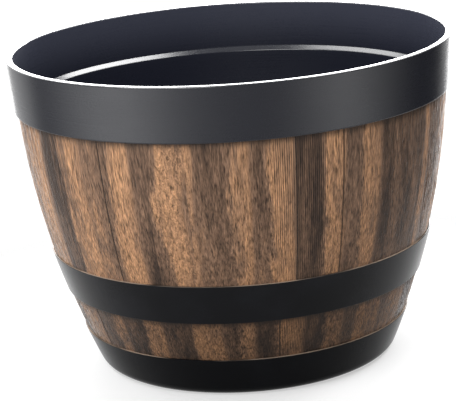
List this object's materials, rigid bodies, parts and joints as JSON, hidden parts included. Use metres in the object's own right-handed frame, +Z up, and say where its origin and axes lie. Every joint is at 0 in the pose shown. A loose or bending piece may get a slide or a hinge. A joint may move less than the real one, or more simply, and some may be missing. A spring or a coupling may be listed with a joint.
{
  "type": "flower pot",
  "caption": "Half-barrel floor planter: moulded pot with a broad rim band, wood-look stave sleeves, a hoop, a base band and pull-out drain plugs.",
  "frame": {"origin": "centre of the foot on the ground, under the pot's axis", "axes": "+Z up along the pot's axis, +X and +Y through opposite drain plugs, -Y towards the viewer"},
  "size_m": [0.3897, 0.3898, 0.282],
  "materials": {
    "black_resin": "satin",
    "wood_look_resin": "embossed wood grain",
    "plug_rubber": "matte"
  },
  "bodies": {
    "pot": {"pot_shell": "black_resin", "upper_stave_sleeve": "wood_look_resin", "hoop_band": "black_resin", "lower_stave_sleeve": "wood_look_resin", "base_band": "black_resin"},
    "plug_1": {"drain_plug_1": "plug_rubber"},
    "plug_2": {"drain_plug_2": "plug_rubber"},
    "plug_3": {"drain_plug_3": "plug_rubber"},
    "plug_4": {"drain_plug_4": "plug_rubber"}
  },
  "joints": [
    {"name": "plug_1_pull", "type": "slide", "parent": "pot", "child": "plug_1", "axis": [0, 0, 1], "range_m": [0, 0.3]},
    {"name": "plug_2_pull", "type": "slide", "parent": "pot", "child": "plug_2", "axis": [0, 0, 1], "range_m": [0, 0.3]},
    {"name": "plug_3_pull", "type": "slide", "parent": "pot", "child": "plug_3", "axis": [0, 0, 1], "range_m": [0, 0.3]},
    {"name": "plug_4_pull", "type": "slide", "parent": "pot", "child": "plug_4", "axis": [0, 0, 1], "range_m": [0, 0.3]}
  ]
}
